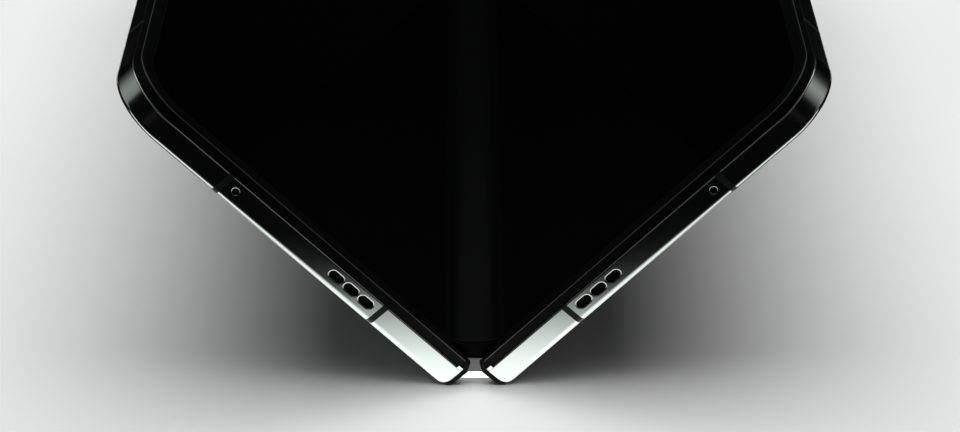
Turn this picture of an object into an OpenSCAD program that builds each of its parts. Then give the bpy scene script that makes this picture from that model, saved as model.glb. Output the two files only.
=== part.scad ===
// Foldable smartphone, book style, standing half open like a V on the lower
// edges of its two halves. The fold axis runs along Y, the two halves rise to
// -X and +X, and the origin is on the table under the middle of the fold.
// All sizes are in millimetres.

/* [Body] */
// Width of one half, from its hinge end to its long side
half_w = 71.05; // [68:0.05:74]
// Length of the body along the fold
body_h = 153.4; // [150:0.1:158]
// Thickness of one half without the camera island
half_t = 6.25; // [6.15:0.05:6.4]
// Radius of the two free corners of each half
corner_r = 9; // [8:0.5:10]
// Height of the metal band, measured from the outer face
metal_h = 4.35; // [4.25:0.05:4.45]
// Radius of the metal band's outer edge
edge_r = 1.2; // [1:0.05:1.25]
// Wall thickness of the metal band
wall = 1.35; // [1.3:0.01:1.4]
// Opening elevation of each half above level
arm = 46; // [0:1:90]

/* [Hinge] */
// Distance of each fold axis from the middle plane
axis_x = 0.5; // [0.5:0.01:0.55]
// Depth of the fold axes below the top of the black rim
axis_down = 0.45; // [0.42:0.01:0.45]
// Depth of the spine's underside below the fold axes
spine_depth = 3; // [2.95:0.01:3.05]
// Radius of the spine's flanks about the fold axes
flank_r = 4.65; // [4.5:0.05:4.65]
// Wall thickness of the spine
spine_wall = 0.6; // [0.5:0.05:0.6]
// Width of the black trim on the hinge end of each half
trim_w = 0.8; // [0.6:0.05:0.9]
// Radius of a half's lower corner at the hinge end, which the phone stands on
end_low_r = 2.2; // [1.2:0.05:2.4]
// Length of the bevel on a half's upper corner at the hinge end, along the half
end_cut_x = 0.8; // [0.8:0.05:1.5]
// Height of the bevel on a half's upper corner at the hinge end
end_cut_z = 1.4; // [1.0:0.05:1.6]
// Teeth of each synchronising gear
gear_n = 14; // [14:1:14]
// Pitch radius of the synchronising gears
gear_r = 0.9; // [0.9:0.01:0.9]
// Height of the gear shafts above the fold axes
gear_z = -1.32; // [-1.32:0.01:-1.3]

/* [Edge details] */
// Distance of the inner antenna band from the hinge end
band1_x = 17.4; // [17:0.1:18]
// Distance of the outer antenna band from the hinge end
band2_x = 49.9; // [49.5:0.1:51]
// Distance of the side antenna bands from the body's ends
band_side = 21; // [18:0.5:24]
// Width of an antenna band
band_w = 1.05; // [0.9:0.05:1.2]
// Distance of the first speaker slot from the hinge end
pill_x = 20.25; // [20:0.05:20.5]
// Pitch of the speaker slots
pill_pitch = 3.15; // [3:0.05:3.2]
// Length of a speaker slot
pill_l = 2.75; // [2.6:0.05:2.8]
// Height of a speaker slot
pill_h = 1.5; // [1.4:0.05:1.6]
// Distance of the microphone hole from the hinge end
mic_x = 47.65; // [47.4:0.05:48]
// Height of the slots and the microphone hole above the outer face
hole_up = 2.7; // [2.6:0.05:2.8]
// How far the side keys stand proud
key_out = 0.35; // [0.3:0.05:0.4]

/* [Hidden] */
$fn = 48;
zt = axis_down;             // top of the black rim, in a half's own frame
zb = axis_down - half_t;    // outer face of a half
zm = zb + metal_h;          // top of the metal band
axis_z = end_low_r * (1 - sin(arm)) - (zb + end_low_r) * cos(arm);
yh = body_h / 2;
disp_top = 0.1;             // inner display's surface
disp_bot = -0.4;
mid_top = -0.85;            // mid plate
hinge_clear_r = 4.85;       // kept free for the spine over the whole fold
cap_out = yh - 1.6;         // outer face of the spine's end caps
cap_in = yh - 2.5;          // inner face of the spine's end caps
module_y = [-58, 0, 58];    // stations of the hinge rotators
gear_y0 = 24;               // the synchronising gears' station
gear_y1 = 27;
band_xs = [band1_x, band2_x];
cam_x = 45;                 // middle of the camera island
cam_y = -47;
key_z = zb + 2.3;           // height of the side keys

// ---------- placing ----------

// Puts a half's own frame (fold axis at its origin, +X along the half, +Z to
// the inner display) in its place on the right
module right() { translate([axis_x, 0, axis_z]) rotate([0, -arm, 0]) children(); }
module left() { mirror([1, 0, 0]) right() children(); }
// Lifts the spine's parts, drawn about the fold axes' height
module spine() { translate([0, 0, axis_z]) children(); }
// Extrudes an XZ outline from y0 to y1
module yext(y0, y1) { translate([0, y1, 0]) rotate([90, 0, 0]) linear_extrude(y1 - y0) children(); }
module both_ends() { children(); mirror([0, 1, 0]) children(); }
module box(a, b) { translate(a) cube(b - a); }

// ---------- outlines ----------

// Hinge end of a half seen along the fold, starting at x0
module end_outline(x0) {
  polygon([[x0 + end_low_r, zb], [half_w + 9, zb], [half_w + 9, zt], [x0 + end_cut_x, zt],
    [x0, zt - end_cut_z], [x0, zb + end_low_r]]);
  translate([x0 + end_low_r, zb + end_low_r]) circle(end_low_r);
}

// Plan outline of a half, set in from its edge, from x0 to the long side
module plan(inset, x0) {
  r = corner_r - inset;
  w = half_w - inset;
  h = yh - inset;
  translate([x0, -h]) square([w - r - x0, 2 * h]);
  translate([x0, -h + r]) square([w - x0, 2 * (h - r)]);
  for (s = [-1, 1]) translate([w - r, s * (h - r)]) circle(r);
}
module plate(inset, x0, z0, z1) { translate([0, 0, z0]) linear_extrude(z1 - z0) plan(inset, x0); }

// Sweeps a cross section (distance in from the edge, height) round the near
// side, the long side and the far side of a half
module ring() {
  both_ends()
    translate([0, -yh, 0]) rotate([90, 0, 90]) linear_extrude(half_w - corner_r) children();
  translate([half_w, -(yh - corner_r), 0]) rotate([90, 0, 180]) linear_extrude(2 * (yh - corner_r)) children();
  for (s = [0, 1]) translate([half_w - corner_r, (2 * s - 1) * (yh - corner_r), 0])
    rotate([0, 0, -90 + 90 * s]) rotate_extrude(angle = 90) translate([corner_r, 0]) mirror([1, 0]) children();
}

// Cross section of the metal band: round outer edge, small round upper edge
module metal_section() {
  translate([edge_r, zb]) square([wall - edge_r, metal_h]);
  translate([0, zb + edge_r]) square([wall, metal_h - edge_r - 0.25]);
  translate([0.25, zb + edge_r]) square([wall - 0.25, metal_h - edge_r]);
  lower_edge();
  translate([0.25, zm - 0.25]) circle(0.25);
}
// Quarter round of the outer edge
module lower_edge() {
  intersection() {
    translate([edge_r, zb + edge_r]) circle(edge_r);
    translate([-1, zb - 1]) square([edge_r + 1.05, edge_r + 1.05]);
  }
}
// Cross section of the black rim around the inner display
module rim_section(p1) {
  foot = mid_top + 0.02;
  translate([0.3, zm]) square([0.52, half_t - metal_h - 0.4]);
  translate([0.3, foot]) square([1.2, zt - foot - 0.4]);
  translate([0.7, foot]) square([p1 - 1.0, zt - foot]);
  translate([p1 - 0.4, foot]) square([0.4, zt - foot - 0.3]);
  translate([0.7, zt - 0.4]) circle(0.4);
  translate([p1 - 0.3, zt - 0.3]) circle(0.3);
}
// Full height cross section of the trim on the hinge ends
module trim_section() {
  translate([edge_r, zb]) square([wall - edge_r, half_t - 0.4]);
  translate([0, zb + edge_r]) square([wall, half_t - edge_r - 0.4]);
  translate([0.4, zb + edge_r]) square([wall - 0.8, half_t - edge_r]);
  lower_edge();
  translate([0.4, zt - 0.4]) circle(0.4);
  translate([wall - 0.4, zt - 0.4]) circle(0.4);
}

// ---------- cuts ----------

// Round-ended slot through the near wall, with a chamfered mouth
module slot_cut(x, z, l, h, c = 0.18) {
  r = h / 2;
  s = (l - h) / 2;
  translate([x, -yh, z]) rotate([-90, 0, 0]) {
    for (k = s > 0 ? [-1, 1] : [0]) translate([k * s, 0, 0]) {
      translate([0, 0, -1]) cylinder(r = r, h = 3.2);
      translate([0, 0, -0.02]) cylinder(r1 = r + c + 0.02, r2 = r, h = c + 0.02);
    }
    if (s > 0) translate([-s, -r, -1]) cube([2 * s, h, 3.2]);
    if (s > 0) translate([-s, 0, 0]) rotate([90, 0, 90]) linear_extrude(2 * s)
      polygon([[-r - c - 0.02, -0.02], [r + c + 0.02, -0.02], [r, c], [-r, c]]);
  }
}
// Upright pill through the long side, at height z
module side_slot(y0, y1, h, z, x0, x1, grow = 0) {
  r = h / 2 + grow;
  for (y = [y0 + h / 2, y1 - h / 2]) translate([x0, y, z]) rotate([0, 90, 0]) cylinder(r = r, h = x1 - x0);
  box([x0, y0 + h / 2, z - r], [x1, y1 - h / 2, z + r]);
}
module speaker_slots() { for (k = [0:2]) slot_cut(pill_x + k * pill_pitch, zb + hole_up, pill_l, pill_h); }
module mic_hole() { slot_cut(mic_x, zb + hole_up, 1.2, 1.2, 0.15); }
module band_boxes(far_bands = true) {
  for (x = band_xs) both_ends() box([x - band_w / 2, -yh - 1, zb - 1], [x + band_w / 2, -yh + 2, zm + 1]);
  both_ends() box([half_w - 2, -yh + band_side, zb - 1], [half_w + 1, -yh + band_side + band_w, zm + 1]);
}
module hinge_space() { rotate([90, 0, 0]) cylinder(r = hinge_clear_r, h = body_h - 2 * wall, center = true, $fn = 96); }

// ---------- parts of a half ----------

module frame_blank() {
  intersection() {
    ring() metal_section();
    yext(-yh - 1, yh + 1) end_outline(trim_w);
  }
}
module frame_body() {
  difference() {
    union() {
      difference() {
        frame_blank();
        band_boxes();
      }
      // Mid plate and hinge rail, bonded inside the band
      difference() {
        union() {
          plate(wall - 0.5, 5.5, zm, mid_top);
          box([4.2, -yh + wall - 0.5, -3], [9.6, yh - wall + 0.5, mid_top]);
        }
        hinge_space();
        // Pockets for the rotators' feet
        for (y = module_y) box([4, y - 4.2, -1.3], [9, y + 4.2, 0]);
        // Pocket that the swing arm slides in
        box([4, gear_y0 - 0.15, -2.4], [9.2, gear_y1 + 0.15, 0]);
      }
      // Small raised nib on each hinge end of the band
      both_ends() box([trim_w + 0.05, -yh + 0.03, zm - 0.5], [trim_w + 0.95, -yh + 0.28, zm + 0.42]);
    }
    speaker_slots();
    mic_hole();
    children();
  }
}
module bands() { intersection() { frame_blank(); band_boxes(); } }
module trims() {
  difference() {
    intersection() {
      both_ends() translate([0, -yh, 0]) rotate([90, 0, 90]) linear_extrude(4) trim_section();
      yext(-yh - 1, yh + 1) end_outline(0);
    }
    yext(-yh - 1, yh + 1) end_outline(trim_w);
  }
}
module rim() {
  difference() {
    intersection() {
      ring() rim_section(2.6);
      yext(-yh - 1, yh + 1) end_outline(trim_w);
    }
    hinge_space();
  }
}
module display_panel() { plate(2.7, axis_x + 0.35, disp_bot, disp_top); }
module support_plate() { plate(2.9, 9.5, -0.8, disp_bot - 0.05); }
module battery(x0, x1, y0, y1, z0) {
  r = 2;
  translate([0, 0, z0]) linear_extrude(-1.5 - z0) {
    translate([x0 + r, y0]) square([x1 - x0 - 2 * r, y1 - y0]);
    translate([x0, y0 + r]) square([x1 - x0, y1 - y0 - 2 * r]);
    for (x = [x0 + r, x1 - r], y = [y0 + r, y1 - r]) translate([x, y]) circle(r);
  }
}
// Speaker box with a duct towards its slots
module speaker(y_sign, z0) {
  mirror([0, y_sign > 0 ? 1 : 0, 0]) difference() {
    union() {
      box([18.2, -yh + 4.2, z0], [30.9, -yh + 10.5, -1.55]);
      box([18.6, -yh + wall + 0.03, -4.28], [28.2, -yh + 4.3, -1.6]);
    }
    box([19.2, -yh + wall - 1, -4], [27.6, -yh + 7, -2.1]);
  }
}
module acoustic_meshes(far_side) {
  for (m = [0:far_side]) mirror([0, m, 0]) {
    for (k = [0:2]) translate([pill_x + k * pill_pitch, -yh + 0.75, zb + hole_up]) rotate([-90, 0, 0]) {
      for (j = [-1, 1]) translate([j * (pill_l - pill_h) / 2, 0, 0]) cylinder(r = pill_h / 2 - 0.01, h = 0.2);
      translate([-(pill_l - pill_h) / 2, -pill_h / 2 + 0.01, 0]) cube([pill_l - pill_h, pill_h - 0.02, 0.2]);
    }
    translate([mic_x, -yh + 0.7, zb + hole_up]) rotate([-90, 0, 0]) cylinder(r = 0.59, h = 0.2);
  }
}
// Back panel with the round hinge edge of the half
module back_panel() {
  intersection() {
    plate(wall + 0.03, 0, zb, zb + 0.7);
    yext(-yh, yh) end_outline(0);
  }
}
// Arm of the hinge that carries a half: foot, neck and a rail bent round the
// fold axis, which slides between the spine's cradle and core
module rotators() {
  for (y = module_y) difference() {
    union() {
      box([1.7, y - 4, -1.25], [8.8, y + 4, -0.65]);
      intersection() {
        yext(y - 4, y + 4) difference() { circle(2); circle(1.5); }
        yext(y - 4, y + 4) polygon([[0, 0], [4, -1.4], [4, -5], [-0.7, -4]]);
      }
    }
    yext(y - 5, y + 5) circle(1.5);
    for (s = [-1, 1]) translate([7.2, y + s * 2.2, -2]) cylinder(r = 0.5, h = 2);
  }
}
module hinge_screws() {
  for (y = module_y, s = [-1, 1]) translate([7.2, y + s * 2.2, 0]) difference() {
    union() {
      translate([0, 0, -1.29]) cylinder(r = 0.48, h = 0.7);
      translate([0, 0, -0.64]) cylinder(r = 0.85, h = 0.2);
    }
    translate([0, 0, -0.54]) cylinder(r = 0.35, h = 0.3, $fn = 6);
  }
}

// ---------- spine ----------

module flanks(r) { for (s = [-1, 1]) translate([s * axis_x, 0]) circle(r, $fn = 96); }
module band_2d(z0, z1) { translate([-9, z0]) square([18, z1 - z0]); }
module spine_cover() color("silver") spine() difference() {
  yext(-cap_in, cap_in) difference() {
    intersection() { flanks(flank_r); band_2d(-spine_depth, -0.5); }
    intersection() { flanks(flank_r - spine_wall); band_2d(-spine_depth + spine_wall, 9); }
  }
  for (y = module_y) box([-9, y - 4.3, -1.35], [9, y + 4.3, 1]);
  box([-9, gear_y0 - 0.2, -2.3], [9, gear_y1 + 0.2, 1]);
}
module spine_end_caps() color("silver") spine() both_ends()
  yext(-cap_out, -cap_in) intersection() { flanks(flank_r); band_2d(-spine_depth + 0.25, -1.6); }
module hinge_end_guards() color("dimgray") spine() both_ends()
  yext(-cap_out, -cap_in) {
    intersection() { flanks(flank_r - 0.2); band_2d(-1.58, -0.2); }
    intersection() {
      union() {
        translate([-4.2, -1]) square([8.4, 0.95]);
        translate([-3.8, -1]) square([7.6, 1.35]);
        for (s = [-1, 1]) translate([s * 3.8, -0.05]) circle(0.4);
      }
      band_2d(-1.2, 0.35);
    }
  }
module hinge_cradles() color("gray") spine() for (y = module_y) yext(y - 5, y + 5) difference() {
  intersection() { translate([-3.4, -spine_depth + spine_wall]) square([6.8, 1.05]); flanks(flank_r - spine_wall - 0.02); }
  flanks(2.05);
}
module hinge_cores() color("gray") spine() for (y = module_y) yext(y - 4, y + 4)
  intersection() { flanks(1.44); band_2d(-3, -0.52); }
module gear_shafts() color("silver") spine() for (s = [-1, 1]) {
  translate([s * gear_r, 0, gear_z]) yext(gear_y0 - 2.5, gear_y1 + 2.5) circle(0.3);
  // Blocks that hold the shafts' ends
  for (y = [gear_y0 - 2.4, gear_y1 + 0.4]) difference() {
    box([s > 0 ? 0.02 : -2.2, y, -spine_depth + spine_wall], [s > 0 ? 2.2 : -0.02, y + 2, -0.6]);
    translate([s * gear_r, 0, gear_z]) yext(y - 1, y + 3) circle(0.29);
  }
}
module fold_support_plate() color("gray") spine() difference() {
  box([-1.2, -cap_in + 0.3, -0.5], [1.2, cap_in - 0.3, -0.22]);
  box([-2, gear_y0 - 0.3, -1], [2, gear_y1 + 0.3, 1]);
}
module display_fold_strip() color("black") spine()
  box([-1.2, -yh + 2.7, -0.21], [1.2, yh - 2.7, 0.05]);
module hinge_flex_ribbons() color("orange") spine() for (y = [-34, 40])
  box([-3.3, y - 6, -spine_depth + spine_wall + 0.02], [3.3, y + 6, -spine_depth + spine_wall + 0.2]);

// Toothed outline: trapezoid teeth, the first one turned by phase
module gear_outline(phase) {
  m = 2 * gear_r / gear_n;
  p = 360 / gear_n;
  ra = gear_r + 0.75 * m;
  rf = gear_r - 1.05 * m;
  polygon([for (i = [0:gear_n - 1], q = [[-0.30, rf], [-0.19, gear_r], [-0.09, ra], [0.09, ra], [0.19, gear_r], [0.30, rf]])
    [q[1] * cos(phase + (i + q[0]) * p), q[1] * sin(phase + (i + q[0]) * p)]]);
}
// Arm that turns on its own shaft and slides in the half's hinge rail. Drawn
// about its shaft, arm along +X when the half lies level
module swing_arm(phase) {
  yext(gear_y0, gear_y1) difference() {
    union() {
      gear_outline(phase);
      translate([0, -0.83]) square([7, 0.5]);
      translate([0, -0.83]) square([0.75, 0.6]);
    }
    circle(0.36);
  }
}
module swing_arm_right() color("gray") translate([gear_r, 0, axis_z + gear_z]) rotate([0, -arm, 0])
  swing_arm(180 - arm);
module swing_arm_left() color("gray") mirror([1, 0, 0]) translate([gear_r, 0, axis_z + gear_z]) rotate([0, -arm, 0])
  swing_arm(180 - arm + 180 / gear_n);

// ---------- left half, with the cameras ----------

module left_frame() color("darkslategray") left() frame_body() {
  union() {
    side_slot(-38, -16, 2.3, key_z, half_w - 3, half_w + 1, 0);
    side_slot(-8, 6, 2.3, key_z, half_w - 3, half_w + 1, 0);
    // Far side: speaker slots, microphone hole, charging port, card tray
    mirror([0, 1, 0]) {
      speaker_slots();
      mic_hole();
      slot_cut(35.5, zb + 2.35, 8.96, 3.2, 0.15);
      slot_cut(56.6, zb + 2.35, 9.6, 2, 0);
      slot_cut(64.3, zb + 2.35, 0.8, 0.8, 0.05);
    }
  }
}
module left_antenna_bands() color("gray") left() bands();
module left_end_trims() color("black") left() trims();
module left_rim() color("black") left() rim();
module left_display_panel() color("black") left() display_panel();
module left_support_plate() color("gray") left() support_plate();
module left_battery() color("dimgray") left() battery(11, 66, -26, 46, -4.7);
module main_board() color("green") left() box([11, -64, -2.6], [66, -28, -1.8]);
module shield_cans() color("silver") left() {
  box([12, -62, -4.2], [26, -46, -2.62]);
  box([12, -44, -4.2], [26, -30, -2.62]);
}
module left_speakers() color("dimgray") left() { speaker(-1, -4.8); speaker(1, -4.8); }
module left_acoustic_meshes() color("black") left() acoustic_meshes(1);
module rear_cover() color("darkslategray") left() difference() {
  back_panel();
  for (p = lens_at) translate([p[0], p[1], zb - 1]) cylinder(r = 4.3, h = 3);
  translate([flash_at[0], flash_at[1], zb - 1]) cylinder(r = 1.6, h = 3);
}
lens_at = [[cam_x - 7.6, cam_y - 7.6], [cam_x + 7.6, cam_y - 7.6], [cam_x - 7.6, cam_y + 7.6]];
flash_at = [cam_x + 7.6, cam_y + 7.6];
module island_2d(g) {
  w = 16.5 + g;
  r = 8 + g;
  translate([cam_x, cam_y]) {
    square([2 * w, 2 * (w - r)], center = true);
    square([2 * (w - r), 2 * w], center = true);
    for (x = [-1, 1], y = [-1, 1]) translate([x * (w - r), y * (w - r)]) circle(r);
  }
}
module camera_island() color("darkslategray") left() difference() {
  union() {
    translate([0, 0, zb - 1.2]) linear_extrude(1.19) island_2d(0);
    translate([0, 0, zb - 1.5]) linear_extrude(0.4) island_2d(-0.4);
  }
  for (p = lens_at) translate([p[0], p[1], zb - 3]) cylinder(r = 5.3, h = 5);
  translate([flash_at[0], flash_at[1], zb - 3]) cylinder(r = 2.2, h = 5);
}
module camera_lens_rings() color("silver") left() for (p = lens_at) translate([p[0], p[1], zb - 2.1]) difference() {
  union() { cylinder(r = 5.28, h = 2.09); }
  translate([0, 0, -1]) cylinder(r = 4.4, h = 5);
}
module camera_lens_glasses() color("black") left() for (p = lens_at)
  translate([p[0], p[1], zb - 1.95]) cylinder(r = 4.38, h = 0.5);
module camera_modules() color("dimgray") left() for (p = lens_at) {
  translate([p[0], p[1], zb - 1.4]) difference() {
    cylinder(r = 4.1, h = 2.6);
    translate([0, 0, -1]) cylinder(r = 2.2, h = 1.8);
  }
  box([p[0] - 4.6, p[1] - 4.6, zb + 1.2], [p[0] + 4.6, p[1] + 4.6, -2.65]);
}
module flash_lens() color("ivory") left() {
  translate([flash_at[0], flash_at[1], zb - 1.55]) cylinder(r = 2.18, h = 1.54);
}
module left_rotators() color("gray") left() rotators();
module left_hinge_screws() color("silver") left() hinge_screws();
// Charging receptacle: oval shell with a tongue
module usb_c_receptacle() color("silver") left() mirror([0, 1, 0]) translate([35.5, -yh, zb + 2.35]) {
  difference() {
    for (g = [0]) union() {
      for (k = [-1, 1]) translate([k * 2.88, 0, 0]) yext(0.5, 7) circle(1.58);
      box([-2.88, 0.5, -1.58], [2.88, 7, 1.58]);
    }
    for (k = [-1, 1]) translate([k * 2.88, 0, 0]) yext(0, 6.4) circle(1.28);
    box([-2.88, 0, -1.28], [2.88, 6.4, 1.28]);
  }
  box([-3.35, 1.5, -0.35], [3.35, 6.5, 0.35]);
}
module vibration_motor() color("silver") left() box([12, 50, -4.6], [17, 62, -1.6]);
// Side key: outer pill and a wider flange behind the wall
module side_key(y0, y1) {
  side_slot(y0 + 0.08, y1 - 0.08, 2.14, key_z, half_w - wall - 0.1, half_w + key_out, 0);
  box([half_w - wall - 0.6, y0 - 0.5, key_z - 1.45], [half_w - wall - 0.03, y1 + 0.5, key_z + 1.45]);
}
module volume_key() color("darkslategray") left() side_key(-38, -16);
module power_key() color("darkslategray") left() side_key(-8, 6);
module sim_tray() color("darkslategray") left() mirror([0, 1, 0]) translate([56.6, -yh, zb + 2.35]) {
  for (k = [-1, 1]) translate([k * 3.8, 0, 0]) yext(0.01, 1.3) circle(0.93);
  box([-3.8, 0.01, -0.93], [3.8, 1.3, 0.93]);
  difference() {
    box([-4.6, 1.25, -0.6], [4.6, 25, 0.6]);
    box([-3.9, 9, -2], [3.9, 24, -0.15]);
    box([-3.2, 8, -2], [3.2, 23, 2]);
  }
}

// ---------- right half, with the cover display ----------

module right_frame() color("darkslategray") right() frame_body() {
  side_slot(-36, -25, 2.3, key_z, half_w - 3, half_w + 1, 0);
}
module right_antenna_bands() color("gray") right() bands();
module right_end_trims() color("black") right() trims();
module right_rim() color("black") right() rim();
module right_display_panel() color("black") right() display_panel();
module right_support_plate() color("gray") right() support_plate();
module right_battery() color("dimgray") right() battery(11, 66, -58, 46, -4.2);
module sub_board() color("green") right() box([11, 49, -3], [66, 70, -2.2]);
module right_speakers() color("dimgray") right() speaker(-1, -4.28);
module right_acoustic_meshes() color("black") right() acoustic_meshes(0);
module cover_glass() color("black") right() difference() {
  back_panel();
  // Earpiece slit at the upper edge of the cover display
  translate([36, -yh + wall + 0.75, zb - 1]) linear_extrude(3) {
    square([9, 0.5], center = true);
    for (k = [-1, 1]) translate([k * 4.5, 0]) circle(0.25);
  }
}
module cover_display_module() color("black") right() difference() {
  translate([0, 0, zb + 0.72]) linear_extrude(0.6) plan(3.2, 5.5);
  translate([36, -yh + 8.5, zb]) cylinder(r = 2.3, h = 3);
}
module cover_camera() color("dimgray") right() translate([36, -yh + 8.5, zb + 0.72]) difference() {
  cylinder(r = 2.2, h = 3.2);
  translate([0, 0, -1]) cylinder(r = 1.1, h = 2.2);
}
module earpiece_mesh() color("dimgray") right() translate([36, -yh + wall + 0.75, zb + 0.35]) linear_extrude(0.3) {
  square([9, 0.48], center = true);
  for (k = [-1, 1]) translate([k * 4.5, 0]) circle(0.24);
}
module right_rotators() color("gray") right() rotators();
module right_hinge_screws() color("silver") right() hinge_screws();
// Three-position slider: knob in its slot and a carrier behind the wall
module alert_slider() color("darkslategray") right() {
  side_slot(-33.6, -27.4, 2.14, key_z, half_w - wall - 0.1, half_w + key_out, 0);
  box([half_w - wall - 0.6, -35, key_z - 1.45], [half_w - wall - 0.03, -26, key_z + 1.45]);
}

spine_cover();
spine_end_caps();
hinge_end_guards();
hinge_cradles();
hinge_cores();
gear_shafts();
fold_support_plate();
display_fold_strip();
hinge_flex_ribbons();
swing_arm_left();
swing_arm_right();
left_frame();
left_antenna_bands();
left_end_trims();
left_rim();
left_display_panel();
left_support_plate();
left_battery();
main_board();
shield_cans();
left_speakers();
left_acoustic_meshes();
rear_cover();
camera_island();
camera_lens_rings();
camera_lens_glasses();
camera_modules();
flash_lens();
left_rotators();
left_hinge_screws();
usb_c_receptacle();
vibration_motor();
volume_key();
power_key();
sim_tray();
right_frame();
right_antenna_bands();
right_end_trims();
right_rim();
right_display_panel();
right_support_plate();
right_battery();
sub_board();
right_speakers();
right_acoustic_meshes();
cover_glass();
cover_display_module();
cover_camera();
earpiece_mesh();
right_rotators();
right_hinge_screws();
alert_slider();
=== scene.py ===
"""Looks of a book-style foldable phone, standing half open as a V.

Everything is in metres and in the row frame. The fold axis runs along Y, the
two halves rise to -X and +X, and the floor is z = 0. Lengths written in
millimetres are turned to metres where a mesh is made.
"""

import math

import bmesh
import bpy
from mathutils import Matrix, Vector


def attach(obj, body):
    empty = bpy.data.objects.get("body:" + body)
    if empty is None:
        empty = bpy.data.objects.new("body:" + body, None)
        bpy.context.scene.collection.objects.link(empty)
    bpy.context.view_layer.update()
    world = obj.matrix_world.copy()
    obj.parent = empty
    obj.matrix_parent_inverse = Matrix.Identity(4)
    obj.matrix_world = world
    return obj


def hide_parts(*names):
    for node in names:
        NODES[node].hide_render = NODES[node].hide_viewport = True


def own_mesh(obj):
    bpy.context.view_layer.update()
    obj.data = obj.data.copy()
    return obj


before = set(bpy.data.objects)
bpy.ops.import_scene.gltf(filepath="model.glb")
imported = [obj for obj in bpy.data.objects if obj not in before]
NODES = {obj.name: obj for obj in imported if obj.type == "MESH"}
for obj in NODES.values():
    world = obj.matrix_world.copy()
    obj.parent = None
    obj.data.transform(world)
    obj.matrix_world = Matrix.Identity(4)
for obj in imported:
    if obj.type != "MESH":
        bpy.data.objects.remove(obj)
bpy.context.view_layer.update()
scene = bpy.context.scene

# ---------------------------------------------------------------- sizes (mm)
ARM = math.radians(46.0)
CA, SA = math.cos(ARM), math.sin(ARM)
HALF_W, BODY_H, HALF_T, CORNER_R = 71.05, 153.4, 6.25, 9.0
METAL_H, WALL, END_LOW_R = 4.35, 1.35, 2.2
AXIS_X, ZT = 0.5, 0.45
ZB = ZT - HALF_T
ZM = ZB + METAL_H
YH = BODY_H / 2
AXIS_Z = END_LOW_R * (1 - SA) - (ZB + END_LOW_R) * CA
DISP_TOP = 0.1
SHEET_INSET = 2.85
MM = 0.001


def place(side, x, y, z):
    """A point of a half's own frame (mm) in the row frame (m). side is 1 on the right, -1 on the left."""
    return Vector((side * (AXIS_X + x * CA - z * SA) * MM, y * MM, (AXIS_Z + x * SA + z * CA) * MM))


def spine(x, y, z):
    """A point drawn about the fold axes' height (mm) in the row frame (m)."""
    return Vector((x * MM, y * MM, (AXIS_Z + z) * MM))


# ---------------------------------------------------------------- camera
cam_data = bpy.data.cameras.new("camera")
cam = bpy.data.objects.new("camera", cam_data)
scene.collection.objects.link(cam)
scene.camera = cam
cam_data.sensor_width = 36.0
cam_data.sensor_fit = "HORIZONTAL"
cam_data.lens = 2451.0 / 960.0 * 36.0
cam_data.clip_start = 0.01
cam_data.clip_end = 20.0
YAW, PITCH = -0.0056, 0.5347
look = Vector((-math.sin(YAW) * math.cos(PITCH), math.cos(YAW) * math.cos(PITCH), -math.sin(PITCH)))
side_way = Vector((math.cos(YAW), math.sin(YAW), 0.0))
up_way = side_way.cross(look)
cam.matrix_world = Matrix.Translation((-0.000985, -0.394688, 0.219245)) @ Matrix(
    (
        (side_way.x, up_way.x, -look.x),
        (side_way.y, up_way.y, -look.y),
        (side_way.z, up_way.z, -look.z),
    )
).to_4x4()


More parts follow.
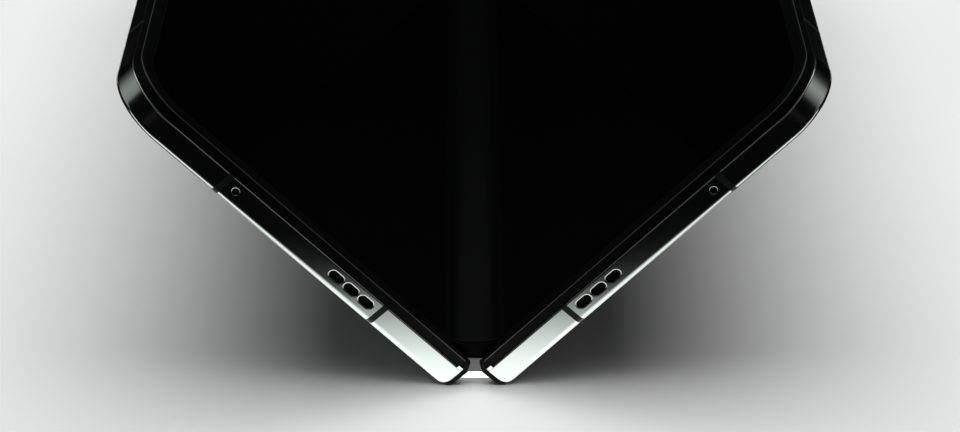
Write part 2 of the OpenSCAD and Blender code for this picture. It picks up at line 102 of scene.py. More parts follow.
# ---------------------------------------------------------------- materials
class Surface:
    """A node material whose texture space is in millimetres.

    side 0 uses the row frame. side 1 and -1 use the right and the left
    half's own frame, so that a pattern follows the half's surfaces.
    """

    def __init__(self, name, side=0):
        self.mat = bpy.data.materials.new(name)
        self.mat.use_nodes = True
        self.tree = self.mat.node_tree
        self.bsdf = self.tree.nodes["Principled BSDF"]
        tc = self.node("ShaderNodeTexCoord")
        mp = self.node("ShaderNodeMapping")
        self.link(tc.outputs["Object"], mp.inputs["Vector"])
        if side:
            mp.inputs["Scale"].default_value = (side * 1000.0, 1000.0, 1000.0)
            mp.inputs["Rotation"].default_value = (0.0, ARM, 0.0)
            mp.inputs["Location"].default_value = (-(AXIS_X * CA + AXIS_Z * SA), 0.0, AXIS_X * SA - AXIS_Z * CA)
        else:
            mp.inputs["Scale"].default_value = (1000.0, 1000.0, 1000.0)
        self.mm = mp.outputs["Vector"]

    def node(self, kind, **values):
        n = self.tree.nodes.new(kind)
        for k, v in values.items():
            setattr(n, k, v)
        return n

    def link(self, a, b):
        self.tree.links.new(a, b)

    def set(self, **values):
        for k, v in values.items():
            s = self.bsdf.inputs[k.replace("_", " ")]
            s.default_value = (*v, 1.0) if isinstance(v, tuple) and len(v) == 3 and len(s.default_value) == 4 else v
        return self

    def noise(self, scale, detail=3.0, rough=0.5, stretch=None):
        n = self.node("ShaderNodeTexNoise")
        n.inputs["Scale"].default_value = scale
        n.inputs["Detail"].default_value = detail
        n.inputs["Roughness"].default_value = rough
        if stretch:
            m = self.node("ShaderNodeMapping")
            m.inputs["Scale"].default_value = stretch
            self.link(self.mm, m.inputs["Vector"])
            self.link(m.outputs["Vector"], n.inputs["Vector"])
        else:
            self.link(self.mm, n.inputs["Vector"])
        return n.outputs["Fac"]

    def remap(self, value, a, b, lo=0.0, hi=1.0, smooth=False):
        r = self.node("ShaderNodeMapRange")
        if smooth:
            r.interpolation_type = "SMOOTHSTEP"
        r.inputs["From Min"].default_value = a
        r.inputs["From Max"].default_value = b
        r.inputs["To Min"].default_value = lo
        r.inputs["To Max"].default_value = hi
        self.link(value, r.inputs["Value"])
        return r.outputs["Result"]

    def math(self, op, a, b=None, c=None):
        m = self.node("ShaderNodeMath", operation=op)
        for i, v in enumerate((a, b, c)):
            if v is None:
                continue
            if isinstance(v, (int, float)):
                m.inputs[i].default_value = v
            else:
                self.link(v, m.inputs[i])
        return m.outputs[0]

    def xyz(self):
        s = self.node("ShaderNodeSeparateXYZ")
        self.link(self.mm, s.inputs[0])
        return s.outputs

    def colour(self, fac, a, b):
        m = self.node("ShaderNodeMix", data_type="RGBA")
        self.link(fac, m.inputs["Factor"])
        m.inputs["A"].default_value = (*a, 1.0)
        m.inputs["B"].default_value = (*b, 1.0)
        return m.outputs["Result"]

    def base(self, socket):
        self.link(socket, self.bsdf.inputs["Base Color"])

    def rough(self, socket):
        self.link(socket, self.bsdf.inputs["Roughness"])

    def bump(self, height, strength, distance_mm):
        b = self.node("ShaderNodeBump")
        b.inputs["Strength"].default_value = strength
        b.inputs["Distance"].default_value = distance_mm * MM
        self.link(height, b.inputs["Height"])
        previous = self.bsdf.inputs["Normal"].links
        if previous:
            self.link(previous[0].from_socket, b.inputs["Normal"])
        self.link(b.outputs["Normal"], self.bsdf.inputs["Normal"])


def finish_of(name, a, b, rough, spread=0.05, metallic=0.0, cloud=0.08, grain=14.0, bump=0.15, depth=0.004, side=0, **more):
    """A surface with two close tones in soft clouds, an uneven roughness and a fine grain."""
    s = Surface(name, side)
    s.set(Metallic=metallic, **more)
    s.base(s.colour(s.remap(s.noise(cloud, 4.0), 0.3, 0.7), a, b))
    fine = s.noise(grain, 3.0, 0.6)
    broad = s.noise(cloud * 3.1, 5.0, 0.6)
    mixed = s.math("ADD", s.math("MULTIPLY", fine, 0.5), s.math("MULTIPLY", broad, 0.5))
    s.rough(s.remap(mixed, 0.3, 0.7, rough - spread, rough + spread))
    s.bump(fine, bump, depth)
    return s


FRAME_A, FRAME_B = (0.395, 0.443, 0.412), (0.430, 0.481, 0.448)
metal_frame = finish_of("metal_frame", FRAME_A, FRAME_B, 0.165, 0.025, metallic=1.0, cloud=0.06, grain=22.0, bump=0.10, depth=0.003)
metal_spine = finish_of("metal_spine", (0.66, 0.70, 0.67), (0.72, 0.75, 0.73), 0.20, 0.04, metallic=1.0, cloud=0.1, grain=18.0, bump=0.1, depth=0.003)
metal_cover = finish_of("spine_cover_metal", (0.150, 0.172, 0.158), (0.172, 0.196, 0.182), 0.25, 0.04, metallic=1.0, cloud=0.08, grain=20.0, bump=0.1, depth=0.003)
steel = finish_of("machined_steel", (0.40, 0.41, 0.41), (0.50, 0.51, 0.51), 0.32, 0.06, metallic=1.0, cloud=0.3, grain=9.0)
sheet_steel = finish_of("sheet_steel", (0.26, 0.27, 0.27), (0.32, 0.33, 0.33), 0.38, 0.05, metallic=1.0, cloud=0.2, grain=11.0)
bright_steel = finish_of("bright_steel", (0.55, 0.55, 0.56), (0.62, 0.62, 0.62), 0.22, 0.05, metallic=1.0, cloud=0.4, grain=16.0)
band_plastic = finish_of("band_plastic", (0.0070, 0.0088, 0.0080), (0.0090, 0.0112, 0.0102), 0.34, 0.04, grain=26.0, bump=0.12, Specular_IOR_Level=0.13)
trim_black = finish_of("trim_black", (0.0040, 0.0060, 0.0050), (0.0055, 0.0080, 0.0068), 0.46, 0.05, grain=20.0, bump=0.12, Specular_IOR_Level=0.035)


def rim_surface(name, side):
    """Satin black rim with a painted highlight: a thin line along its small outer top edge radius gets a lighter colour
    and a stronger gloss.
    """
    m = finish_of(name, (0.0014, 0.0016, 0.0015), (0.0020, 0.0023, 0.0022), 0.42, 0.05, grain=16.0, bump=0.12, side=side)
    x, y, z = m.xyz()
    qx = m.math("MAXIMUM", m.math("SUBTRACT", x, HALF_W - CORNER_R), 0.0)
    qy = m.math("MAXIMUM", m.math("SUBTRACT", m.math("ABSOLUTE", y), YH - CORNER_R), 0.0)
    d = m.math("SQRT", m.math("ADD", m.math("MULTIPLY", qx, qx), m.math("MULTIPLY", qy, qy)))
    outer = m.remap(d, CORNER_R - 0.70, CORNER_R - 0.60, smooth=True)
    up = m.remap(z, ZT - 0.39, ZT - 0.33, smooth=True)
    down = m.remap(z, ZT - 0.25, ZT - 0.17, 1.0, 0.0, smooth=True)
    painted_rim_glint = m.math("MULTIPLY", m.math("MULTIPLY", up, down), outer)
    m.link(m.remap(painted_rim_glint, 0.0, 1.0, 0.04, 0.8), m.bsdf.inputs["Specular IOR Level"])
    # Painted highlight: the base colour turns lighter along the outer top edge line.
    link = m.bsdf.inputs["Base Color"].links[0].from_socket
    mix = m.node("ShaderNodeMix", data_type="RGBA")
    m.link(painted_rim_glint, mix.inputs["Factor"])
    m.link(link, mix.inputs["A"])
    mix.inputs["B"].default_value = (0.026, 0.028, 0.027, 1.0)
    m.base(mix.outputs["Result"])
    return m


rim_left = rim_surface("rim_black_left", -1)
rim_right = rim_surface("rim_black_right", 1)
guard_gray = finish_of("guard_gray", (0.185, 0.185, 0.185), (0.212, 0.212, 0.210), 0.48, 0.05, grain=18.0, bump=0.2)
cap_black = finish_of("cap_black", (0.0010, 0.0011, 0.0011), (0.0014, 0.0016, 0.0015), 0.6, 0.05, grain=15.0, bump=0.2, Specular_IOR_Level=0.05)
inner_plastic = finish_of("inner_plastic", (0.025, 0.025, 0.026), (0.034, 0.034, 0.035), 0.5, 0.06, grain=8.0, bump=0.3)
battery_foil = finish_of("battery_foil", (0.07, 0.07, 0.075), (0.09, 0.09, 0.095), 0.36, 0.08, grain=1.3, bump=0.35, depth=0.02)
ribbon = finish_of("ribbon", (0.42, 0.17, 0.04), (0.50, 0.22, 0.06), 0.4, 0.05, grain=4.0)
flash_plastic = finish_of("flash_plastic", (0.78, 0.74, 0.60), (0.84, 0.80, 0.68), 0.22, 0.04, grain=6.0)


def board():
    """Solder mask with copper pours and pads."""
    s = Surface("circuit_board")
    v = s.node("ShaderNodeTexVoronoi", feature="DISTANCE_TO_EDGE", distance="MANHATTAN")
    v.inputs["Scale"].default_value = 0.55
    s.link(s.mm, v.inputs["Vector"])
    track = s.remap(v.outputs["Distance"], 0.03, 0.07)
    s.base(s.colour(track, (0.05, 0.17, 0.09), (0.012, 0.07, 0.035)))
    s.rough(s.remap(s.noise(6.0), 0.3, 0.7, 0.3, 0.45))
    s.bump(track, 0.4, 0.02)
    return s


def weave(name, tone):
    """Woven acoustic mesh, 8 threads to the millimetre."""
    s = Surface(name)
    x, y, z = s.xyz()
    a = s.math("SINE", s.math("MULTIPLY", s.math("ADD", x, z), 16.0))
    b = s.math("SINE", s.math("MULTIPLY", s.math("SUBTRACT", x, z), 16.0))
    grid = s.remap(s.math("MULTIPLY", a, b), -1.0, 1.0)
    s.base(s.colour(grid, tuple(c * 0.4 for c in tone), tone))
    s.rough(s.remap(grid, 0.0, 1.0, 0.7, 0.45))
    s.bump(grid, 0.6, 0.03)
    return s


circuit = board()
mesh_cloth = weave("mesh_cloth", (0.0040, 0.0044, 0.0042)).set(Specular_IOR_Level=0.12)


def glass(name, side, active=None, tone=(0.0007, 0.0008, 0.0008), tone_in=(0.0010, 0.0011, 0.0012), rough=0.035, smear=0.05):
    """Black glass over a screen: printed border, lit area a trace lighter, faint wipe marks in the gloss."""
    s = Surface(name, side)
    s.set(IOR=1.5)
    if active:
        x0, x1, y1, r = active
        x, y, z = s.xyz()
        dx = s.math("SUBTRACT", s.math("ABSOLUTE", s.math("SUBTRACT", x, (x0 + x1) / 2)), (x1 - x0) / 2 - r)
        dy = s.math("SUBTRACT", s.math("ABSOLUTE", y), y1 - r)
        dx = s.math("MAXIMUM", dx, 0.0)
        dy = s.math("MAXIMUM", dy, 0.0)
        d = s.math("SQRT", s.math("ADD", s.math("MULTIPLY", dx, dx), s.math("MULTIPLY", dy, dy)))
        inside = s.remap(d, r - 0.06, r + 0.06, 1.0, 0.0)
        s.base(s.colour(inside, tone, tone_in))
    else:
        s.base(s.colour(s.remap(s.noise(0.2), 0.3, 0.7), tone, tuple(c * 1.25 for c in tone)))
    wipe = s.noise(0.045, 5.0, 0.6, stretch=(1.0, 0.35, 1.0))
    dust = s.noise(3.0, 4.0, 0.7)
    s.rough(s.math("ADD", s.remap(wipe, 0.35, 0.75, rough, rough + smear), s.remap(dust, 0.55, 0.85, 0.0, 0.03)))
    s.bump(s.noise(0.12, 2.0), 0.05, 0.02)
    return s


display_l = glass("display_left", -1, active=(-30.0, HALF_W - 4.3, YH - 4.3, 4.6), tone=(0.00025, 0.00028, 0.00028), tone_in=(0.00035, 0.00040, 0.00041))
display_r = glass("display_right", 1, active=(-30.0, HALF_W - 4.3, YH - 4.3, 4.6), tone=(0.00025, 0.00028, 0.00028), tone_in=(0.00035, 0.00040, 0.00041))
display_fold_mat = glass("display_fold_glass", 0)
cover_mat = glass("cover_glass_black", 1, active=(4.6, HALF_W - 3.6, YH - 3.6, 5.4), rough=0.04)
lens_mat = glass("lens_glass", 0, tone=(0.0030, 0.0032, 0.0045), rough=0.02, smear=0.01)
rear_mat = finish_of("rear_glass_etched", (0.0130, 0.0270, 0.0215), (0.0160, 0.0320, 0.0255), 0.34, 0.03, cloud=0.03, grain=24.0, bump=0.25, depth=0.004, side=-1, IOR=1.5)


def island_surface():
    """Camera island: dark polished face, bare metal round its side wall."""
    m = finish_of("camera_island_finish", (0.0095, 0.0190, 0.0152), (0.0120, 0.0230, 0.0184), 0.15, 0.03, cloud=0.05, grain=22.0, bump=0.06, side=-1, IOR=1.5)
    wall = m.remap(m.xyz()[2], ZB - 1.50, ZB - 1.36, smooth=True)
    mix = m.node("ShaderNodeMix", data_type="RGBA")
    m.link(wall, mix.inputs["Factor"])
    m.link(m.bsdf.inputs["Base Color"].links[0].from_socket, mix.inputs["A"])
    mix.inputs["B"].default_value = (*FRAME_A, 1.0)
    m.base(mix.outputs["Result"])
    m.link(wall, m.bsdf.inputs["Metallic"])
    return m


island = island_surface()

BY_NODE = {
    metal_spine: ["spine_end_caps"],
    metal_cover: ["spine_cover"],
    guard_gray: ["hinge_end_guards"],
    steel: ["hinge_cradles", "hinge_cores", "gear_shafts", "swing_arm_left", "swing_arm_right", "shield_cans", "left_rotators", "right_rotators", "vibration_motor"],
    sheet_steel: ["fold_support_plate", "left_support_plate", "right_support_plate"],
    ribbon: ["hinge_flex_ribbons"],
    island: ["camera_island"],
    metal_frame: ["left_frame", "right_frame", "camera_lens_rings", "volume_key", "power_key", "sim_tray", "alert_slider"],
    band_plastic: ["left_antenna_bands", "right_antenna_bands"],
    trim_black: ["left_end_trims", "right_end_trims"],
    rim_left: ["left_rim"],
    rim_right: ["right_rim"],
    display_l: ["left_display_panel"],
    display_r: ["right_display_panel"],
    display_fold_mat: ["display_fold_strip"],
    battery_foil: ["left_battery", "right_battery"],
    circuit: ["main_board", "sub_board"],
    inner_plastic: ["left_speakers", "right_speakers", "camera_modules", "cover_display_module"],
    mesh_cloth: ["left_acoustic_meshes", "right_acoustic_meshes", "earpiece_mesh"],
    rear_mat: ["rear_cover"],
    lens_mat: ["camera_lens_glasses", "cover_camera"],
    flash_plastic: ["flash_lens"],
    bright_steel: ["left_hinge_screws", "right_hinge_screws", "usb_c_receptacle"],
    cover_mat: ["cover_glass"],
}
for surface, names in BY_NODE.items():
    for n in names:
        mesh = NODES[n].data
        mesh.materials.clear()
        mesh.materials.append(surface.mat)


# ---------------------------------------------------------------- mesh tools
def make(name, verts, faces, surface, sharp=40.0):
    me = bpy.data.meshes.new(name)
    me.from_pydata([tuple(v) for v in verts], [], faces)
    me.validate()
    bm = bmesh.new()
    bm.from_mesh(me)
    bmesh.ops.recalc_face_normals(bm, faces=bm.faces)
    bm.to_mesh(me)
    bm.free()
    me.materials.append(surface.mat)
    for p in me.polygons:
        p.use_smooth = True
    me.set_sharp_from_angle(angle=math.radians(sharp))
    ob = bpy.data.objects.new(name, me)
    scene.collection.objects.link(ob)
    return ob


def loft(rings, closed_ends=True):
    """Faces between rings of equal length, with a face on each end."""
    n = len(rings[0])
    verts = [p for r in rings for p in r]
    faces = []
    for i in range(len(rings) - 1):
        for j in range(n):
            k = (j + 1) % n
            faces.append((i * n + j, i * n + k, (i + 1) * n + k, (i + 1) * n + j))
    if closed_ends:
        faces.append(tuple(reversed(range(n))))
        faces.append(tuple(range((len(rings) - 1) * n, len(rings) * n)))
    return verts, faces


def plan(inset, x0, steps=14):
    """Outline of a half set in from its edge, from x0 to the long side, as (x, y) in mm."""
    r, w, h = CORNER_R - inset, HALF_W - inset, YH - inset
    pts = [(x0, -h)]
    for s, start in ((-1, -90.0), (1, 0.0)):
        for i in range(steps + 1):
            a = math.radians(start + 90.0 * i / steps)
            pts.append((w - r + r * math.cos(a), s * (h - r) + r * math.sin(a)))
    pts.append((x0, h))
    return pts


def rounded_plate(name, side, inset, x0, z0, z1, r, surface):
    """A plate in a half's frame whose upper outer edge has radius r."""
    rings = [[(x, y, z0) for x, y in plan(inset, x0)]]
    for i in range(6):
        a = math.radians(90.0 * i / 5)
        d = r * (1 - math.cos(a))
        rings.append([(x, y, z1 - r + r * math.sin(a)) for x, y in plan(inset + d, x0)])
    rings.append([(x, y, z1) for x, y in plan(inset + r + 0.3, x0 + 0.3)])
    rings = [[place(side, *p) for p in ring] for ring in rings]
    if side < 0:
        rings = [list(reversed(ring)) for ring in rings]
    v, f = loft(rings)
    return make(name, v, f, surface, 50.0)


def lathe(name, side, x0, y0, profile, surface, segs=72, teeth=0, tooth=0.0, sharp=32.0):
    """A turned piece about local z at (x0, y0). profile holds (radius, z); a tooth wave cuts every radius over the third entry's mark."""
    verts, rings = [], []
    for point in profile:
        r, z = point[0], point[1]
        if r < 1e-6:
            rings.append([len(verts)])
            verts.append(place(side, x0, y0, z))
            continue
        row = []
        for i in range(segs):
            a = 2 * math.pi * i / segs
            rr = r - (tooth * (0.5 - 0.5 * math.cos(a * teeth)) if teeth and len(point) > 2 else 0.0)
            row.append(len(verts))
            verts.append(place(side, x0 + rr * math.cos(a), y0 + rr * math.sin(a), z))
        rings.append(row)
    faces = []
    for a, b in zip(rings, rings[1:]):
        if len(a) == 1 and len(b) == 1:
            continue
        for i in range(segs):
            k = (i + 1) % segs
            if len(a) == 1:
                faces.append((a[0], b[i], b[k]))
            elif len(b) == 1:
                faces.append((a[i], b[0], a[k]))
            else:
                faces.append((a[i], b[i], b[k], a[k]))
    if len(rings[0]) > 1 and len(rings[-1]) > 1:
        a, b = rings[-1], rings[0]
        for i in range(segs):
            k = (i + 1) % segs
            faces.append((a[i], b[i], b[k], a[k]))
    return make(name, verts, faces, surface, sharp)


def bar(name, side, lo, hi, bevel, surface):
    """Bars with bevelled edges in a half's frame, several pairs of corners in one piece."""
    verts, faces = [], []
    for (ax, ay, az), (bx, by, bz) in zip(lo, hi):
        base = len(verts)
        e = bevel
        rows = []
        for z, d in ((az, e), (az + e, 0.0), (bz - e, 0.0), (bz, e)):
            rows.append([(ax + d, ay + d, z), (bx - d, ay + d, z), (bx - d, by - d, z), (ax + d, by - d, z)])
        for row in rows:
            verts.extend(place(side, *q) for q in row)
        for i in range(3):
            for j in range(4):
                k = (j + 1) % 4
                faces.append((base + i * 4 + j, base + i * 4 + k, base + i * 4 + 4 + k, base + i * 4 + 4 + j))
        faces.append((base + 3, base + 2, base + 1, base))
        faces.append((base + 12, base + 13, base + 14, base + 15))
    return make(name, verts, faces, surface, 30.0)


# ---------------------------------------------------------------- inner display
APEX = (DISP_TOP - AXIS_X * SA) / CA  # height of the two display planes' crossing above the axes
FOLD_HALF, FOLD_EASE = 4.75, 2.3  # half width of the bent part, and how late its bend comes
inner_x = FOLD_HALF - AXIS_X - 0.05  # the flat sheets go on under the bent part

for side, body, surface, n in ((-1, "left_half", display_l, "left_display_panel"), (1, "right_half", display_r, "right_display_panel")):
    ob = rounded_plate("display_" + ("left" if side < 0 else "right"), side, SHEET_INSET, inner_x, DISP_TOP - 0.3, DISP_TOP, 0.12, surface)
    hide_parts(n)
    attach(ob, body)


def fold_profile(steps=36):
    """Points (x, z, slope) over the right side of the fold, about the axes' height: flat at the middle, 46 degrees at its end."""
    fine = 400
    run = FOLD_HALF / fine
    slopes = [ARM * ((i + 0.5) / fine) ** FOLD_EASE for i in range(fine)]
    drop = sum(math.tan(t) * run for t in slopes)
    z = APEX + FOLD_HALF * math.tan(ARM) - drop
    pts = [(0.0, z, 0.0)]
    for i, t in enumerate(slopes):
        z += math.tan(t) * run
        if (i + 1) % (fine // steps) == 0:
            pts.append(((i + 1) * run, z, ARM * ((i + 1) / fine) ** FOLD_EASE))
    if pts[-1][0] < FOLD_HALF - 1e-6:
        pts.append((FOLD_HALF, z, ARM))
    return pts


def fold_section(depth=0.0):
    """The whole fold from left to right, depth millimetres under its surface."""
    right = [(x + depth * math.sin(t), z - depth * math.cos(t)) for x, z, t in fold_profile()]
    return [(-x, z) for x, z in reversed(right[1:])] + right


def fold_slab(name, y0, y1, surface, lower, edge=0.1):
    """A slab along Y whose top follows the fold. lower(x, z) gives the point under a top point."""
    top = [(x, z + 0.004) for x, z in fold_section()]
    low = fold_section(0.25) if lower is None else [lower(x, z) for x, z in top]
    rings = []
    for y, d in ((y0, edge), (y0 + edge * 0.3, edge * 0.3), (y0 + edge, 0.0), (y0 + edge * 3, 0.0), (y1 - edge * 3, 0.0), (y1 - edge, 0.0), (y1 - edge * 0.3, edge * 0.3), (y1, edge)):
        ring = [spine(x, y, z - d) for x, z in top] + [spine(x, y, z) for x, z in reversed(low)]
        rings.append(ring)
    v, f = loft(rings, closed_ends=False)
    n = len(top)
    for first in (0, (len(rings) - 1) * 2 * n):
        for i in range(n - 1):
            f.append((first + i, first + i + 1, first + 2 * n - 2 - i, first + 2 * n - 1 - i))
    ob = make(name, v, f, surface, 50.0)
    ob.data.materials.append(cap_black.mat)
    for p in ob.data.polygons:
        if not y0 + edge < p.center.y / MM < y1 - edge:
            p.material_index = 1
    return ob


ends = YH - SHEET_INSET
strip = fold_slab("display_fold", -ends, ends, display_fold_mat, None)
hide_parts("display_fold_strip")
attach(strip, "spine")
KEEP = 0.02
ANCHOR_Z = (DISP_TOP + 0.002 - KEEP * fold_section()[0][1]) / (1 - KEEP)
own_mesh(strip)

for s in (-1, 1):
    y0, y1 = sorted((s * (YH - 2.52), s * (YH - 4.5)))
    cap = fold_slab("fold_cap_near" if s < 0 else "fold_cap_far", y0, y1, cap_black, lambda x, z: (x, min(z - 0.3, 0.3 + abs(x) * 0.9)), 0.12)
    for v in cap.data.vertices:
        v.co.z -= 0.26 * MM
    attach(cap, "spine")
    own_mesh(cap)

# ---------------------------------------------------------------- cameras
barrel_black = finish_of("barrel_black", (0.006, 0.006, 0.007), (0.009, 0.009, 0.010), 0.34, 0.05, grain=30.0, bump=0.15)
coated = finish_of("coated_lens", (0.0015, 0.0015, 0.0022), (0.0025, 0.0022, 0.0034), 0.02, 0.008, grain=2.0, bump=0.02, Specular_IOR_Level=0.9, Thin_Film_Thickness=430.0, Thin_Film_IOR=1.7)
gold = finish_of("gold_contact", (0.75, 0.52, 0.20), (0.82, 0.58, 0.24), 0.25, 0.05, metallic=1.0, grain=12.0)
sensor_black = finish_of("sensor_black", (0.008, 0.010, 0.009), (0.011, 0.013, 0.012), 0.22, 0.04, grain=20.0, bump=0.08)
ring_metal = finish_of("ring_metal", (0.34, 0.38, 0.355), (0.38, 0.42, 0.395), 0.16, 0.03, metallic=1.0, cloud=0.1, grain=22.0, bump=0.08, depth=0.003)
CAM_X, CAM_Y = 45.0, -47.0
LENSES = ((CAM_X - 7.6, CAM_Y - 7.6), (CAM_X + 7.6, CAM_Y - 7.6), (CAM_X - 7.6, CAM_Y + 7.6))
out = ZB - 1.95
rings, barrels = [], []
for i, (lx, ly) in enumerate(LENSES):
    # Ring with a coin edge, a polished bevel and a step down to the glass
    top = ZB - 2.1
    r = lathe(
        f"camera_ring_{i + 1}", -1, lx, ly,
        [(4.40, ZB - 0.01), (4.40, top + 0.10), (4.46, top + 0.03), (4.56, top), (4.86, top), (4.94, top + 0.04),
         (5.24, top + 0.34), (5.28, top + 0.44, 1), (5.28, ZB - 1.55, 1), (5.28, ZB - 1.30), (5.28, ZB - 0.01)],
        ring_metal, 288, 96, 0.07)
    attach(r, "left_half")
    rings.append(r)
    # Window rim, baffle steps and seat for the front lens
    aperture = (2.15, 1.75, 2.0)[i]
    prof = [(0.0, out + 0.36), (aperture - 0.05, out + 0.36), (aperture, out + 0.30), (aperture + 0.10, out + 0.22), (aperture + 0.55, out + 0.22),
            (aperture + 0.60, out + 0.16), (aperture + 1.0, out + 0.12), (aperture + 1.05, out + 0.06), (3.86, out + 0.05), (3.92, out + 0.01), (4.02, out),
            (4.33, out), (4.38, out + 0.05), (4.38, out + 0.5), (0.0, out + 0.5)]
    b = lathe(f"camera_barrel_{i + 1}", -1, lx, ly, prof, barrel_black, 96)
    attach(b, "left_half")
    barrels.append(b)
    # Front lens, domed
    rr = aperture - 0.08
    dome = [(0.0, out + 0.03)]
    for k in range(1, 13):
        t = k / 12
        dome.append((rr * t, out + 0.03 + 0.28 * (1 - math.sqrt(max(0.0, 1 - (0.96 * t) ** 2)))))
    dome += [(rr, out + 0.37), (0.0, out + 0.37)]
    d = lathe(f"camera_front_lens_{i + 1}", -1, lx, ly, dome, coated, 72, sharp=50.0)
    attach(d, "left_half")
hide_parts("camera_lens_rings")
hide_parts("camera_lens_glasses")

# Flash: a flat window moulded with fine steps, as a stepped lens
fx, fy, ftop = CAM_X + 7.6, CAM_Y + 7.6, ZB - 1.55
prof = [(0.0, ftop + 0.02), (0.30, ftop + 0.03)]
for k in range(1, 7):
    rad = 0.30 + 0.26 * k
    prof += [(rad - 0.02, ftop + 0.16), (rad, ftop + 0.02)] if k < 6 else [(rad, ftop + 0.12)]
prof += [(1.90, ftop + 0.02), (2.12, ftop), (2.18, ftop + 0.06), (2.18, ZB - 0.01), (0.0, ZB - 0.01)]
flash = lathe("flash_window", -1, fx, fy, prof, flash_plastic, 96, sharp=20.0)
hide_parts("flash_lens")
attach(flash, "left_half")

# Camera behind the cover glass, seen as a small dark lens in a ring
cx, cy = 36.0, -(YH - 8.5)
prof = [(0.0, ZB - 0.018), (1.0, ZB - 0.012), (1.05, ZB - 0.004), (1.5, ZB - 0.004), (1.56, ZB - 0.016), (1.72, ZB - 0.016), (1.78, ZB + 0.05), (0.0, ZB + 0.05)]
cc = lathe("cover_camera_window", 1, cx, cy, prof, coated, 72, sharp=15.0)
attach(cc, "right_half")

# ---------------------------------------------------------------- ports and keys
def hole_edges(name, side, holes, body):
    """Rolled edges of round and pill-shaped holes in the short sides: polished at the mouth, with the bore walls inside
    painted black as shade.

    holes are (x, length, height, width of the edge, -1 near or 1 far).
    """
    verts, faces, bore_shade = [], [], []
    for x, length, height, c, end in holes:
        k = c / 0.18
        prof = [(0.18, 0.0), (0.14, 0.007), (0.10, 0.018), (0.06, 0.033), (0.03, 0.048), (0.0, 0.072), (-0.012, 0.10),
                (-0.015, 0.16), (-0.015, 0.45), (0.05, 0.45), (0.20, 0.07)]
        straight = (length - height) / 2
        base, m = len(verts), len(prof)
        angles = [(straight, math.radians(-90 + 180 * i / 20)) for i in range(21)] + [(-straight, math.radians(90 + 180 * i / 20)) for i in range(21)]
        if straight < 0.01:
            angles = [(0.0, 2 * math.pi * i / 40) for i in range(40)]
        n = len(angles)
        for u, w in prof:
            r = height / 2 + u * k
            for cx0, a in angles:
                verts.append(place(side, x + cx0 + r * math.cos(a), end * (YH - w * k), ZB + 2.7 + r * math.sin(a)))
        for i in range(m):
            for j in range(n):
                i2, j2 = (i + 1) % m, (j + 1) % n
                faces.append((base + i * n + j, base + i * n + j2, base + i2 * n + j2, base + i2 * n + j))
                bore_shade.append(5 <= i)
    ob = make(name, verts, faces, metal_frame, 40.0)
    # The bore walls take the black cap finish as painted shade.
    ob.data.materials.append(cap_black.mat)
    for p, d in zip(ob.data.polygons, bore_shade):
        p.material_index = 1 if d else 0
    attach(ob, body)
    return ob


SLOTS = [(20.25 + 3.15 * k, 2.75, 1.5, 0.18) for k in range(3)] + [(47.65, 1.2, 1.2, 0.15)]
hole_edges("hole_edges_left", -1, [(*h, end) for end in (-1, 1) for h in SLOTS], "left_half")
hole_edges("hole_edges_right", 1, [(*h, -1) for h in SLOTS], "right_half")

PORT_X, PORT_Z = 35.5, ZB + 2.35
lo, hi = [], []
for k in range(12):
    x = PORT_X - 2.75 + 0.5 * k
    for z0, z1 in ((PORT_Z + 0.34, PORT_Z + 0.372), (PORT_Z - 0.372, PORT_Z - 0.34)):
        lo.append((x - 0.13, YH - 5.6, z0))
        hi.append((x + 0.13, YH - 1.9, z1))
contacts = bar("port_contacts", -1, lo, hi, 0.008, gold)
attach(contacts, "left_half")

KEY_Z, KEY_X = ZB + 2.3, HALF_W + 0.35


def pill_face(name, side, y0, y1, height, x0, x1, surface, body):
    """A thin pill laid on a side key: crowned edge, flat face."""
    rings = []
    r0 = height / 2
    for x, d in ((x0, 0.0), (x1 - 0.012, 0.0), (x1, 0.03)):
        r = r0 - d
        row = []
        for c, s0 in ((y1 - r0, -90.0), (y0 + r0, 90.0)):
            for i in range(13):
                a = math.radians(s0 + 180.0 * i / 12)
                row.append(place(side, x, c + r * math.cos(a), KEY_Z + r * math.sin(a)))
        rings.append(row)
    v, f = loft(rings)
    ob = make(name, v, f, surface, 30.0)
    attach(ob, body)
    return ob


pill_face("power_key_sensor", -1, -7.2, 5.2, 1.40, KEY_X - 0.05, KEY_X + 0.02, sensor_black, "power_key")
lo, hi = [], []
for k in range(11):
    y = -30.5 - 2.0 + 0.4 * k
    half = 0.62 if 0 < k < 10 else 0.5
    lo.append((KEY_X - 0.05, y - 0.11, KEY_Z - half))
    hi.append((KEY_X + 0.055, y + 0.11, KEY_Z + half))
ribs = bar("alert_slider_ribs", 1, lo, hi, 0.04, metal_frame)
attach(ribs, "alert_slider")

# ---------------------------------------------------------------- floor and light
floor_surface = finish_of("floor_paper", (0.72, 0.73, 0.725), (0.745, 0.755, 0.75), 0.62, 0.05, cloud=0.01, grain=1.5, bump=0.05)
floor = make("floor", [(-3, -3, 0), (3, -3, 0), (3, 3, 0), (-3, 3, 0)], [(0, 1, 2, 3)], floor_surface)
floor.visible_glossy = False


def area(name, at, to, size, power, colour=(1.0, 1.0, 1.0), glossy=True, spread=180.0):
    d = bpy.data.lights.new(name, "AREA")
    d.shape = "RECTANGLE"
    d.size, d.size_y = size
    d.energy = power
    d.color = colour
    d.spread = math.radians(spread)
    o = bpy.data.objects.new(name, d)
    scene.collection.objects.link(o)
    o.location = at
    o.rotation_euler = (Vector(to) - Vector(at)).to_track_quat("-Z", "Y").to_euler()
    o.visible_camera = False
    o.visible_glossy = glossy
    return o


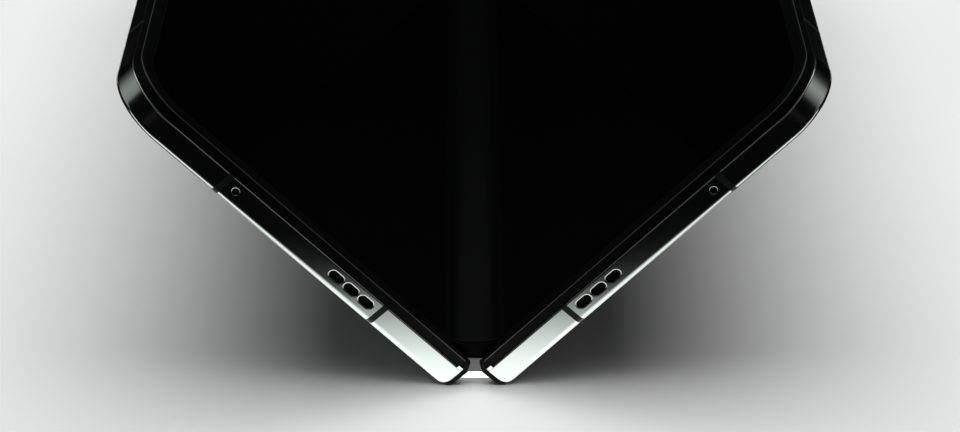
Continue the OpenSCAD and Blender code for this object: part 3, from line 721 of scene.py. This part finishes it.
def card(name, corners, axis, stops, strength, colour=(1.0, 1.0, 1.0), fade=None):
    """A studio card that only shows in gloss. stops are (millimetre along axis, brightness)."""
    s = Surface(name + "_light")
    s.tree.nodes.remove(s.bsdf)
    em = s.node("ShaderNodeEmission")
    out = s.tree.nodes["Material Output"]
    s.link(em.outputs[0], out.inputs["Surface"])
    em.inputs["Color"].default_value = (*colour, 1.0)
    ax = s.xyz()[axis]
    lo, hi = stops[0][0], stops[-1][0]
    ramp = s.node("ShaderNodeValToRGB")
    ramp.color_ramp.interpolation = "LINEAR"
    s.link(s.remap(ax, lo, hi), ramp.inputs["Fac"])
    el = ramp.color_ramp.elements
    for i, (t, v) in enumerate(stops):
        e = el[i] if i < 2 else el.new((t - lo) / (hi - lo))
        e.position = (t - lo) / (hi - lo)
        e.color = (v, v, v, 1.0)
    value = s.math("MULTIPLY", ramp.outputs["Color"], strength)
    if fade:
        f_axis, f0, f1, lowest = fade
        d = s.math("ABSOLUTE", s.xyz()[f_axis])
        value = s.math("MULTIPLY", value, s.remap(d, f0, f1, 1.0, lowest, smooth=True))
    s.link(value, em.inputs["Strength"])
    o = make(name, corners, [(0, 1, 2, 3)], s)
    o.visible_camera = o.visible_diffuse = o.visible_shadow = o.visible_transmission = False
    return o


# Overhead soft light for the floor, kept high so that it stays out of the display's gloss
area("top_soft", (0.0, 0.10, 1.0), (0, 0, 0), (1.3, 0.9), 14.0, glossy=False)
area("top_gloss", (0.0, 0.30, 1.0), (0, 0, 0), (0.9, 0.3), 1.2)

# Card in front of the near face, at the floor: bright next to the phone
front = [(-130.0, 0.0), (-120.0, 0.001), (-112.0, 0.006), (-107.5, 0.035), (-103.7, 0.15), (-100.5, 0.31), (-97.0, 0.43), (-92.0, 0.64), (-87.0, 0.88), (-82.0, 1.05), (-76.0, 1.15)]
card("front_card", [(-0.2, -0.13, -0.001), (0.2, -0.13, -0.001), (0.2, -0.076, -0.001), (-0.2, -0.076, -0.001)], 1, front, 2.25)
# Card under the phone for the line along the lower edge
under_stops = [(-76.0, 1.0), (-20.0, 1.0), (140.0, 0.45)]
card("under_card", [(-0.12, -0.076, -0.03), (0.12, -0.076, -0.03), (0.12, 0.14, -0.03), (-0.12, 0.14, -0.03)], 1, under_stops, 1.9, fade=(0, 20.0, 90.0, 0.08))
card("back_card", [(-0.2, 0.076, -0.001), (0.2, 0.076, -0.001), (0.2, 0.15, -0.001), (-0.2, 0.15, -0.001)], 1, [(76.0, 1.0), (90.0, 0.9), (110.0, 0.35), (150.0, 0.03)], 1.4)
# Tall side cards for the corners and the long edge lines
side_stops = {
    -1: [(-330.0, 0.0), (-222.0, 0.0), (-196.0, 0.34), (-113.0, 0.46), (-19.0, 0.50), (77.0, 0.36), (180.0, 0.13), (298.0, 0.015), (340.0, 0.0)],
    1: [(-345.0, 0.0), (-328.0, 0.13), (-306.0, 0.16), (-206.0, 0.40), (-111.0, 0.60), (-18.0, 0.36), (78.0, 0.07), (181.0, 0.01), (340.0, 0.0)],
}
for s in (-1, 1):
    x = 0.5 * s
    y0, y1 = side_stops[s][0][0] * MM, side_stops[s][-1][0] * MM
    q = [(x, y0, 0.03), (x, y1, 0.03), (x, y1, 0.42), (x, y0, 0.42)]
    card("side_card_left" if s < 0 else "side_card_right", q, 1, side_stops[s], 1.0)

world = bpy.data.worlds.new("studio")
scene.world = world
world.use_nodes = True
wt = world.node_tree
bg = wt.nodes["Background"]
tc = wt.nodes.new("ShaderNodeTexCoord")
sx = wt.nodes.new("ShaderNodeSeparateXYZ")
wr = wt.nodes.new("ShaderNodeValToRGB")
wt.links.new(tc.outputs["Generated"], sx.inputs[0])
up01 = wt.nodes.new("ShaderNodeMapRange")
up01.inputs["From Min"].default_value = -1.0
wt.links.new(sx.outputs["Z"], up01.inputs["Value"])
wt.links.new(up01.outputs["Result"], wr.inputs["Fac"])
sky = [(-1.0, 0.30), (-0.80, 0.20), (-0.66, 0.004), (0.36, 0.002), (0.47, 0.010), (0.56, 0.045), (0.80, 0.12), (1.0, 0.30)]
for i, (t, v) in enumerate(sky):
    e = wr.color_ramp.elements[i] if i < 2 else wr.color_ramp.elements.new((t + 1) / 2)
    e.position = (t + 1) / 2
    e.color = (v, v, v, 1.0)
# A soft patch low in front, which only surfaces turned away from the camera reflect
low_front = wt.nodes.new("ShaderNodeMapRange")
low_front.inputs["From Min"].default_value = -0.80
low_front.inputs["From Max"].default_value = -0.97
low_front.inputs["To Max"].default_value = 0.16
low_front.interpolation_type = "SMOOTHSTEP"
wt.links.new(sx.outputs["Y"], low_front.inputs["Value"])
above = wt.nodes.new("ShaderNodeMapRange")
above.inputs["From Min"].default_value = -0.12
above.inputs["From Max"].default_value = 0.10
wt.links.new(sx.outputs["Z"], above.inputs["Value"])
patch = wt.nodes.new("ShaderNodeMath")
patch.operation = "MULTIPLY"
wt.links.new(low_front.outputs["Result"], patch.inputs[0])
wt.links.new(above.outputs["Result"], patch.inputs[1])
total = wt.nodes.new("ShaderNodeMath")
wt.links.new(wr.outputs["Color"], total.inputs[0])
wt.links.new(patch.outputs[0], total.inputs[1])
wt.links.new(total.outputs[0], bg.inputs["Strength"])
bg.inputs["Color"].default_value = (1.0, 1.0, 1.0, 1.0)
scene.view_settings.view_transform = "Standard"
